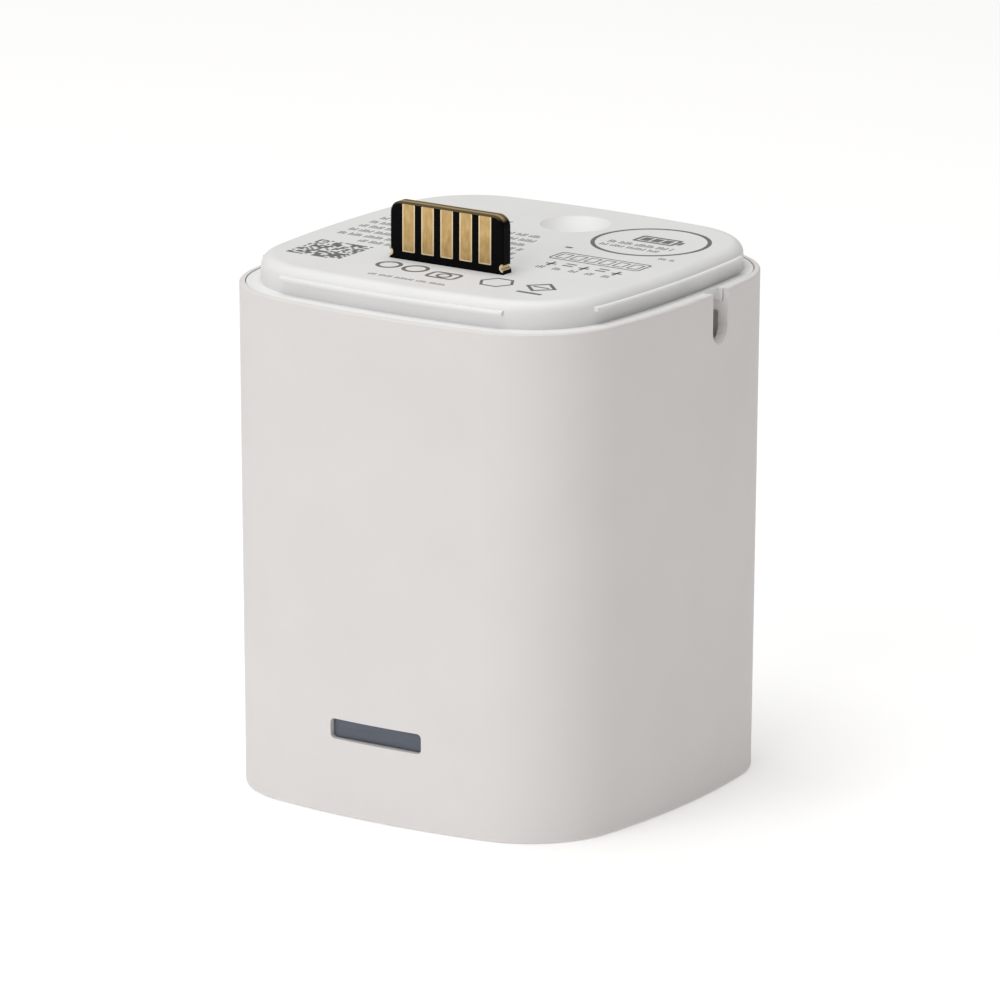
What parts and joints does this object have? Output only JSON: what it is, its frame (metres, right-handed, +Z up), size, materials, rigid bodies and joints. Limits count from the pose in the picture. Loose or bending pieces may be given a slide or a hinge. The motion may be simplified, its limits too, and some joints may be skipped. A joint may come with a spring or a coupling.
{
  "type": "camera battery pack",
  "caption": "Rechargeable battery pack for a wall-mounted wireless camera: a white drafted cup, a raised cover and an upright gold-finger contact blade.",
  "frame": {"origin": "centre of the flat base, on the surface it stands on", "axes": "+Z up, from the base to the contact blade; -Y faces the side with the status window; +X faces the side with the latch slot"},
  "size_m": [0.0457, 0.0456, 0.061],
  "materials": {
    "shell_white": "fine satin moulded white",
    "cover_white": "fine satin moulded white",
    "smoked_lens": "smoked translucent acrylic",
    "blade_board": "black solder mask over glass-epoxy laminate",
    "gold_plating": "hard gold plating",
    "green_board": "green solder mask over glass-epoxy laminate",
    "sleeve_film": "shrink film",
    "cell_steel": "nickel-plated drawn steel",
    "cell_roll": "wound electrode foil",
    "washer_card": "white fibre card",
    "holder_plastic": "black moulded plastic",
    "nickel_strip": "rolled nickel strip",
    "tape_film": "amber polyimide film",
    "barley_paper": "insulating fish paper",
    "foam": "closed-cell foam",
    "chip_black": "moulded epoxy",
    "tin_legs": "tinned copper",
    "ceramic_black": "glazed resistor ceramic",
    "ceramic_tan": "fired ceramic",
    "fuse_body": "ceramic fuse body",
    "led_resin": "milky light-emitting diode resin",
    "bead_epoxy": "dipped epoxy",
    "sealant": "cured silicone"
  },
  "bodies": {
    "root": {"base_board": "green_board", "blade_sealant": "sealant", "bottom_foam_pad": "foam", "bridge_pins": "gold_plating", "cell_can_back_left": "cell_steel", "cell_can_back_right": "cell_steel", "cell_can_front_left": "cell_steel", "cell_can_front_right": "cell_steel", "cell_cap_back_left": "cell_steel", "cell_cap_back_right": "cell_steel", "cell_cap_front_left": "cell_steel", "cell_cap_front_right": "cell_steel", "cell_core_back_left": "cell_roll", "cell_core_back_right": "cell_roll", "cell_core_front_left": "cell_roll", "cell_core_front_right": "cell_roll", "cell_sleeve_back_left": "sleeve_film", "cell_sleeve_back_right": "sleeve_film", "cell_sleeve_front_left": "sleeve_film", "cell_sleeve_front_right": "sleeve_film", "cell_washer_back_left": "washer_card", "cell_washer_back_right": "washer_card", "cell_washer_front_left": "washer_card", "cell_washer_front_right": "washer_card", "chip_capacitors": "ceramic_tan", "chip_legs": "tin_legs", "chip_resistors": "ceramic_black", "contact_blade": "blade_board", "contact_pads": "gold_plating", "fuse": "fuse_body", "half_hole_plating": "gold_plating", "insulator_sheet": "barley_paper", "light_gasket": "foam", "lower_cell_holder": "holder_plastic", "lower_nickel_plate": "nickel_strip", "main_board": "green_board", "outer_shell": "shell_white", "pack_tape": "tape_film", "power_switches": "chip_black", "protection_chip": "chip_black", "status_leds": "led_resin", "status_window": "smoked_lens", "thermistor_bead": "bead_epoxy", "thermistor_leads": "tin_legs", "top_cover": "cover_white", "top_foam_pads": "foam", "upper_cell_holder": "holder_plastic", "upper_nickel_plate": "nickel_strip"}
  },
  "joints": []
}
